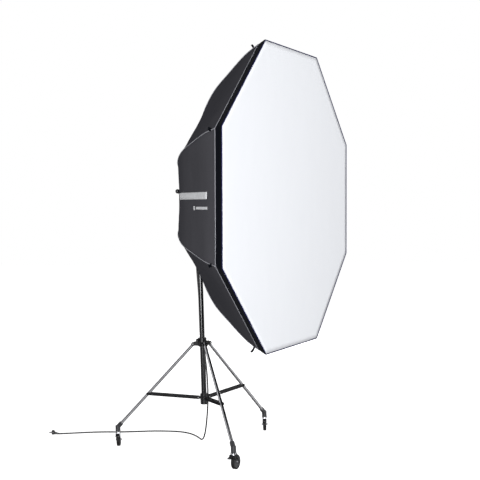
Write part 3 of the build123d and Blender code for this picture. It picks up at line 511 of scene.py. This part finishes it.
def stretchedOctagon(radius, cuts, dish, pucker):
    # an octagon of cloth in fine triangles, a little slack in the middle and drawn at the corners
    bm = bmesh.new()
    bmesh.ops.create_circle(bm, cap_ends=True, cap_tris=True, segments=sides, radius=radius)
    bmesh.ops.rotate(bm, verts=bm.verts, cent=(0, 0, 0), matrix=Matrix.Rotation(halfSide, 3, "Z"))
    bmesh.ops.subdivide_edges(bm, edges=bm.edges, cuts=cuts, use_grid_fill=True)
    cloth = bm.loops.layers.uv.new("cloth")
    flatPlaces = {vert: vert.co.copy() for vert in bm.verts}
    for vert, place in flatPlaces.items():
        turn = goreAngle(place)
        toEdge = radius * cos(halfSide) - place.length * cos(turn)
        across = tan(turn) / tan(halfSide) if place.length > 0.001 else 0
        slack = 1 - (place.length / radius) ** 2
        crease = noise.noise(Vector((across * 6, turn, place.length * 2.0))) * abs(across) ** 3
        vert.co.z = -dish * slack + pucker * crease * min(toEdge / 0.05, 1) * place.length / radius
    for face in bm.faces:
        for loop in face.loops:
            place = flatPlaces[loop.vert]
            turn = goreAngle(place)
            loop[cloth].uv = (radius * cos(halfSide) - place.length * cos(turn),
                              place.length * sin(turn))
    return bm


front = {"radius": 1.0215, "cuts": 30, "depth": 0.0022, "dish": 0.004, "pucker": 0.0016,
         "wall": 0.0008, "flat": (1.93, 1.93), "area": 2.96}
bm = stretchedOctagon(front["radius"], front["cuts"], front["dish"], front["pucker"])
bmesh.ops.translate(bm, vec=(0, 0, -front["depth"]), verts=bm.verts)
frontPiece = addPiece(bm, "frontCloth", "diffuser_cloth", "softbox", softboxSpace,
                      replaced=["front_diffuser"], wall=front["wall"])

inner = {"radius": 0.78, "cuts": 14, "depth": 0.3, "dish": 0.006, "pucker": 0.003,
         "wall": 0.0007, "flat": (1.46, 1.46), "area": 1.72}
bm = stretchedOctagon(inner["radius"], inner["cuts"], inner["dish"], inner["pucker"])
bmesh.ops.translate(bm, vec=(0, 0, -inner["depth"]), verts=bm.verts)
innerPiece = addPiece(bm, "innerCloth", "inner_cloth", "softbox", softboxSpace,
                      replaced=["inner_diffuser"], wall=inner["wall"])


def meshOf(curve):
    # a curve's own mesh, as it would be drawn
    carrier = bpy.data.objects.new(curve.name, curve)
    scene.collection.objects.link(carrier)
    bpy.context.view_layer.update()
    drawn = carrier.evaluated_get(bpy.context.evaluated_depsgraph_get())
    mesh = bpy.data.meshes.new_from_object(drawn)
    bpy.data.objects.remove(carrier)
    return mesh


def tubeMesh(lines, radius, ridges=6):
    # round cords along lines of points, swept as curves and joined as one mesh
    curve = bpy.data.curves.new("cordLine", "CURVE")
    curve.dimensions, curve.bevel_depth, curve.bevel_resolution = "3D", radius, ridges // 2
    curve.use_fill_caps = True
    for points, closed in lines:
        spline = curve.splines.new("POLY")
        spline.points.add(len(points) - 1)
        for point, place in zip(spline.points, points):
            point.co = (*place, 1)
        spline.use_cyclic_u = closed
    bm = bmesh.new()
    mesh = meshOf(curve)
    bm.from_mesh(mesh)
    bpy.data.meshes.remove(mesh)
    return bm


def ringPoints(radius, depth, perSide, sag=0.0):
    # points round an octagon, its sides drawn in by sag
    points = []
    for side in range(sides):
        start, end = ((radius * cos(halfSide * (2 * k + 1)), radius * sin(halfSide * (2 * k + 1)))
                      for k in (side, side + 1))
        for n in range(perSide):
            t = n / perSide
            pull = 1 - 4 * sag * t * (1 - t) / radius
            points.append(((start[0] + (end[0] - start[0]) * t) * pull,
                           (start[1] + (end[1] - start[1]) * t) * pull, -depth))
    return points


piping = {"radius": 0.0021, "proud": 0.0016, "ringRadius": 1.0035, "ringDepth": 0.056,
          "ringSag": 0.0015, "perSide": 12}
ribEdges = []
for corner in range(sides):
    turn = halfSide * (2 * corner + 1)
    seam = [((radius + piping["proud"]) * cos(turn), (radius + piping["proud"]) * sin(turn),
             -depth - piping["proud"] * 0.6) for radius, depth in ribLine]
    ribEdges.append((seam, False))
frontRing = ringPoints(piping["ringRadius"], piping["ringDepth"], piping["perSide"], piping["ringSag"])
bm = tubeMesh([(frontRing, True)] + ribEdges, piping["radius"])
addPiece(bm, "pipingCords", "piping_cord", "softbox", softboxSpace,
         replaced=["piping"])

binding = {"radius": 0.0026, "ringRadius": 1.0258, "depth": 0.0010, "perSide": 12}
edgeRing = ringPoints(binding["ringRadius"], binding["depth"], binding["perSide"])
bm = tubeMesh([(edgeRing, True)], binding["radius"])
addPiece(bm, "frontBinding", "edge_binding", "softbox", softboxSpace)


def webbingStrap(line, width, steps=3, strips=4):
    # a strap that follows a line in the plane of a rib, as wide as width
    bm = bmesh.new()
    places = [bm.verts.new((radius, -width / 2, -depth)) for radius, depth in smoothLine(line, steps)]
    edges = [bm.edges.new(pair) for pair in zip(places, places[1:])]
    cloth = bm.loops.layers.uv.new("cloth")
    for _ in range(strips):
        made = bmesh.ops.extrude_edge_only(bm, edges=edges)["geom"]
        bmesh.ops.translate(bm, vec=(0, width / strips, 0),
                            verts=[g for g in made if isinstance(g, bmesh.types.BMVert)])
        edges = [g for g in made if isinstance(g, bmesh.types.BMEdge)
                 and abs(g.verts[0].co.y - g.verts[1].co.y) < 1e-6]
    for face in bm.faces:
        for loop in face.loops:
            loop[cloth].uv = (loop.vert.co.y, loop.vert.co.z)
    bmesh.ops.rotate(bm, verts=bm.verts, cent=(0, 0, 0), matrix=Matrix.Rotation(halfSide, 3, "Z"))
    return bm


tabs = {
    # a doubled strap at each seam behind the lip: one long pull at a lower corner, short ones elsewhere
    "short": [(0.985, 0.088), (0.994, 0.0905), (1.001, 0.094), (1.0045, 0.098), (1.0035, 0.1005),
              (0.998, 0.0975), (0.991, 0.0945), (0.984, 0.0915)],
    "long": [(0.985, 0.086), (1.000, 0.0905), (1.013, 0.097), (1.0205, 0.104), (1.0190, 0.108),
             (1.010, 0.1015), (0.998, 0.0950), (0.984, 0.0905)],
    "longAt": (5,), "width": 0.018, "wall": 0.0022,
}
bm = bmesh.new()
for corner in range(sides):
    strap = webbingStrap(tabs["long" if corner in tabs["longAt"] else "short"], tabs["width"])
    bmesh.ops.rotate(strap, verts=strap.verts, cent=(0, 0, 0),
                     matrix=Matrix.Rotation(2 * halfSide * corner, 3, "Z"))
    joinInto(bm, strap)
addPiece(bm, "pullTabs", "webbing", "softbox", softboxSpace, replaced=["pull_tabs"],
         wall=tabs["wall"])

pockets = {"radius": 0.0062, "length": 0.042, "inset": 0.011, "wall": 0.0014, "rings": 8,
           "wrinkle": 0.04, "wrinkleScale": 300, "alongShare": 0.72}
bm = bmesh.new()
bmesh.ops.create_cone(bm, cap_ends=False, segments=20, radius1=pockets["radius"] * 1.1,
                      radius2=pockets["radius"], depth=pockets["length"])
lengthwise = [edge for edge in bm.edges if abs(edge.verts[0].co.z - edge.verts[1].co.z) > 0.01]
bmesh.ops.subdivide_edges(bm, edges=lengthwise, cuts=pockets["rings"])
for vert in bm.verts:
    vert.co.xy *= 1 + pockets["wrinkle"] * noise.noise(vert.co * pockets["wrinkleScale"])
first, second = Vector(shell["ribs"][0]), Vector(shell["ribs"][1])
run = (second - first).normalized()
middle = (first + run * pockets["length"] * pockets["alongShare"]
          - Vector((run.y, -run.x)) * pockets["inset"])
alongRod = Vector((0, 0, 1)).rotation_difference(Vector((run.x, 0, -run.y))).to_matrix().to_4x4()
bmesh.ops.transform(bm, verts=bm.verts, matrix=Matrix.Rotation(halfSide, 4, "Z")
                    @ Matrix.Translation((middle.x, 0, -middle.y)) @ alongRod)
repeatAround(bm, sides)
addPiece(bm, "tipSleeves", "sleeve_webbing", "softbox", softboxSpace,
         replaced=["tip_pockets"], wall=pockets["wall"])

collar = {"line": [(0.1172, 0.607), (0.1182, 0.614), (0.1180, 0.626), (0.1160, 0.636),
                   (0.1105, 0.641), (0.1050, 0.643)], "gathers": 36, "gatherDepth": 0.0011,
          "gatherFrom": 0.612, "gatherOver": 0.02, "middleRadius": 0.11, "around": 144,
          "wall": 0.0012, "flat": (0.76, 0.05)}
bm = bmesh.new()
rim = [bm.verts.new((radius, 0, -depth)) for radius, depth in smoothLine(collar["line"], 4)]
edges = [bm.edges.new(pair) for pair in zip(rim, rim[1:])]
bmesh.ops.spin(bm, geom=rim + edges, cent=(0, 0, 0), axis=(0, 0, 1), angle=2 * pi,
               steps=collar["around"], use_merge=True)
cloth = bm.loops.layers.uv.new("cloth")
for face in bm.faces:
    for loop in face.loops:
        place = loop.vert.co
        loop[cloth].uv = (-place.z, abs(atan2(place.y, place.x)) * collar["line"][0][0])
for vert in bm.verts:
    share = min(max((-vert.co.z - collar["gatherFrom"]) / collar["gatherOver"], 0), 1)
    vert.co.xy *= 1 + collar["gatherDepth"] / collar["middleRadius"] * share * sin(
        collar["gathers"] * atan2(vert.co.y, vert.co.x))
collarPiece = addPiece(bm, "rearSleeve", "lip_cloth", "softbox", softboxSpace,
                       replaced=["rear_collar"], wall=collar["wall"])

print("stage: plain mark on the side gore")
mark = {"gore": pi, "lift": 0.0012, "wall": 0.0003, "cuts": (24, 6), "pieces": [
    # across the gore, along it, half width, half length
    (-0.012, 0.325, 0.021, 0.235), (0.060, 0.165, 0.008, 0.080), (0.060, 0.272, 0.012, 0.012)]}


def onSkin(across, distance, gore, lift):
    # the point of the pulled-in skin at a distance across a gore and along its rib
    walked = 0
    for a, b in zip(ribLine, ribLine[1:]):
        step = (b - a).length
        if walked + step >= distance or b is ribLine[-1]:
            radius, depth = a + (b - a) * ((distance - walked) / step)
            break
        walked += step
    flatPlace = Vector((radius * cos(halfSide), across, -depth))
    drawn = pulledPlace(flatPlace, distance, shell)
    slope = Vector((b - a)).normalized()
    drawn += Vector((slope.y, 0, slope.x)).normalized() * lift
    return Matrix.Rotation(gore, 3, "Z") @ drawn


bm = bmesh.new()
for acrossAt, alongAt, halfWidth, halfLength in mark["pieces"]:
    made = bmesh.ops.create_grid(bm, x_segments=mark["cuts"][0], y_segments=mark["cuts"][1],
                                 size=1)["verts"]
    for vert in made:
        vert.co = onSkin(acrossAt + vert.co.y * halfWidth, alongAt + vert.co.x * halfLength,
                         mark["gore"], mark["lift"])
addPiece(bm, "plainMark", "print_white", "softbox", softboxSpace,
         wall=mark["wall"], side=0.0)

print("stage: head details")
panel = {
    "back": 0.795, "screwsAt": 0.0515, "screwRadius": 0.0034, "screwHeight": 0.0016, "screws": 4,
    "dialAt": (0.022, 0.014), "dialTop": 0.8063, "ticks": 11, "tickSpan": 280, "tickAt": 0.0158,
    "tickHalf": (0.0003, 0.0013), "printHeight": 0.0003,
    "windowAt": (0.0, -0.022), "windowHalf": (0.019, 0.009), "windowHeight": 0.0012,
    "lensAt": (0.0, 0.036), "lensRadius": 0.0024, "pointerAbove": 0.006,
    "pointerHalf": (0.0005, 0.0036), "windowSoften": 0.0005,
}


def rearPlate(bm, middle, halfSizes, height, turn=0.0, level=None, soften=0.0):
    # a thin plate on the rear panel, its face to the back
    before = set(bm.verts)
    bmesh.ops.create_cube(bm, size=2, matrix=Matrix.Translation(
        (middle[0], middle[1], -(level or panel["back"]) - height / 2))
        @ Matrix.Rotation(turn, 4, "Z") @ Matrix.Diagonal((*halfSizes, height / 2, 1)))
    made = [vert for vert in bm.verts if vert not in before]
    if soften:
        edges = list({edge for vert in made for edge in vert.link_edges})
        bmesh.ops.bevel(bm, geom=edges, offset=soften, affect="EDGES", segments=2, profile=0.5,
                        material=-1)


bm = bmesh.new()
for n in range(panel["screws"]):
    turn = 2 * pi * (n + 0.5) / panel["screws"]
    at = Matrix.Translation((panel["screwsAt"] * cos(turn), panel["screwsAt"] * sin(turn),
                             -panel["back"] - panel["screwHeight"] / 2))
    head = bmesh.new()
    bmesh.ops.create_cone(head, cap_ends=True, segments=20, radius1=panel["screwRadius"] * 0.8,
                          radius2=panel["screwRadius"], depth=panel["screwHeight"])
    face = min(head.faces, key=lambda f: f.calc_center_median().z)
    bmesh.ops.inset_individual(head, faces=[face], thickness=panel["screwRadius"] * 0.35,
                               depth=-panel["screwHeight"] * 0.5)
    bmesh.ops.transform(head, matrix=at, verts=head.verts)
    joinInto(bm, head)
addPiece(bm, "panelScrews", "pin_steel", "head", softboxSpace, smooth=False)

bm = bmesh.new()
for n in range(panel["ticks"]):
    turn = radians(panel["tickSpan"]) * (n / (panel["ticks"] - 1) - 0.5)
    middle = (panel["dialAt"][0] + panel["tickAt"] * sin(turn),
              panel["dialAt"][1] + panel["tickAt"] * cos(turn))
    rearPlate(bm, middle, panel["tickHalf"], panel["printHeight"], -turn)
addPiece(bm, "dialTicks", "print_white", "head", softboxSpace, smooth=False)

bm = bmesh.new()
rearPlate(bm, (panel["dialAt"][0], panel["dialAt"][1] + panel["pointerAbove"]),
          panel["pointerHalf"], panel["printHeight"], level=panel["dialTop"])
addPiece(bm, "dialPointer", "print_white", "dial", softboxSpace, smooth=False)

bm = bmesh.new()
rearPlate(bm, panel["windowAt"], panel["windowHalf"], panel["windowHeight"],
          soften=panel["windowSoften"])
addPiece(bm, "readoutWindow", "plug_plastic", "head", softboxSpace)

bm = bmesh.new()
bmesh.ops.create_uvsphere(bm, u_segments=20, v_segments=10, radius=panel["lensRadius"],
                          matrix=Matrix.Translation((*panel["lensAt"], -panel["back"])))
addPiece(bm, "indicatorLens", "indicator", "head", softboxSpace)

print("stage: mains lead")
lead = {
    # control points beside the column and over the floor, x and y from the column axis
    "route": [
        (0.030, 0.066, 1.562), (0.030, 0.066, 1.500), (0.034, 0.060, 1.400), (0.042, 0.052, 1.285),
        (0.044, 0.048, 1.170), (0.047, 0.043, 1.060), (0.047, 0.040, 0.950), (0.052, 0.034, 0.840),
        (0.058, 0.024, 0.730), (0.066, 0.020, 0.620), (0.074, 0.015, 0.515), (0.082, 0.016, 0.415),
        (0.087, 0.020, 0.320), (0.091, 0.029, 0.235), (0.096, 0.041, 0.165), (0.106, 0.056, 0.105),
        (0.122, 0.076, 0.058), (0.147, 0.103, 0.023), (0.181, 0.136, 0.007), (0.229, 0.182, 0.005),
        (0.284, 0.243, 0.005), (0.335, 0.322, 0.005), (0.357, 0.415, 0.005), (0.340, 0.523, 0.005),
        (0.302, 0.634, 0.005), (0.246, 0.736, 0.005), (0.196, 0.838, 0.005), (0.162, 0.948, 0.005),
        (0.110, 1.056, 0.005), (0.043, 1.158, 0.005), (-0.004, 1.240, 0.005)],
    "radius": 0.005, "length": 2.86, "order": 3, "stretchFrom": 0.35, "stretchTo": 1.45,
}


def splinePoints(route, order):
    # the points that a smooth spline with these control points passes through
    curve = bpy.data.curves.new("leadRoute", "CURVE")
    curve.dimensions, curve.resolution_u = "3D", 12
    spline = curve.splines.new("NURBS")
    spline.points.add(len(route) - 1)
    for point, place in zip(spline.points, route):
        point.co = (place[0], place[1] + poleY, place[2], 1)
    spline.order_u, spline.use_endpoint_u = order, True
    return [vert.co.copy() for vert in meshOf(curve).vertices]


leadPath = splinePoints(lead["route"], lead["order"])
bm = tubeMesh([(leadPath, False)], lead["radius"], 10)
leadPiece = addPiece(bm, "leadCord", "lead_rubber", None, replaced=["mains_lead"])
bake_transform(leadPiece)

print("stage: studio")
studio = {
    "floor": 24.0, "floorColour": (0.93, 0.93, 0.93), "floorGlow": 0.95,
    "lights": [
        # name, place, width, watts, colour
        ("keyBox", (-0.4, -8.0, 2.2), 4.0, 430, (1.0, 1.0, 1.0)),
        ("topBox", (-3.2, 2.2, 4.4), 2.0, 3, (0.90, 0.93, 1.0)),
        ("sideBox", (-6.2, -2.6, 1.3), 2.2, 370, (0.97, 0.98, 1.0)),
        ("rearBox", (4.0, 6.0, 2.6), 3.0, 120, (0.96, 0.97, 1.0)),
        ("farSideBox", (6.5, 0.5, 2.0), 2.4, 90, (0.98, 0.98, 1.0)),
    ],
    "aim": (0, -0.4, 1.2), "sky": 0.09, "ground": 0.35, "dark": 0.03, "panel": 0.95, "walls": 4.0,
    "wallEdge": 3.0, "horizonRise": 1.6, "horizonLift": 0.75, "patchScale": 1.2, "patchTone": 0.99,
}


def softLight(name, place, width, watts, colour):
    data = bpy.data.lights.new(name, "AREA")
    data.shape, data.size, data.energy, data.color = "SQUARE", width, watts, colour
    light = bpy.data.objects.new(name, data)
    scene.collection.objects.link(light)
    direction = Vector(studio["aim"]) - Vector(place)
    turn = direction.to_track_quat("-Z", "Y").to_matrix().to_4x4()
    light.matrix_world = Matrix.Translation(place) @ turn


for settings in studio["lights"]:
    softLight(*settings)

world = Shading(bpy.data.worlds.new("studioRoom"))
scene.world = world.owner
x, y, z = world.separate(world.coordinates("Generated"))
wave = (world.math("ARCTAN2", y, x) * studio["walls"]).sine()
bands = world.between(wave * studio["wallEdge"] + 0.5, 0.0, 1.0)
height = world.between(z * studio["horizonRise"] + studio["horizonLift"], 0.0, 1.0)
room = studio["sky"] * (studio["ground"] + height * (1 - studio["ground"]))
panels = studio["dark"] + bands * studio["panel"]
seen = world.node("ShaderNodeLightPath", out="Is Camera Ray")
mirrored = world.node("ShaderNodeLightPath", out="Is Glossy Ray")
strength = seen + mirrored * panels + (1.0 - seen) * (1.0 - mirrored) * room
background = world.tree.nodes["Background"]
background.inputs["Color"].default_value = (1, 1, 1, 1)
world.feed(background.inputs["Strength"], strength)

floorFinish = Finish("paleFloor", Roughness=0.9, Specular_IOR_Level=0.0, Emission_Color=(1, 1, 1, 1),
                     Emission_Strength=studio["floorGlow"])
patch = floorFinish.cloud(floorFinish.coordinates(), studio["patchScale"], 3.0)
floorFinish.varies(Base_Color=floorFinish.mixColour(
    patch, rgba(studio["floorColour"], studio["patchTone"]), rgba(studio["floorColour"])))
bm = bmesh.new()
bmesh.ops.create_grid(bm, x_segments=1, y_segments=1, size=studio["floor"])
mesh = bpy.data.meshes.new("floor")
bm.to_mesh(mesh)
bm.free()
mesh.materials.append(floorFinish.owner)
floor = bpy.data.objects.new("floor", mesh)
scene.collection.objects.link(floor)
floor.visible_diffuse = floor.visible_glossy = False  # the room gives its bounce and reflections
scene.view_settings.view_transform = "Standard"
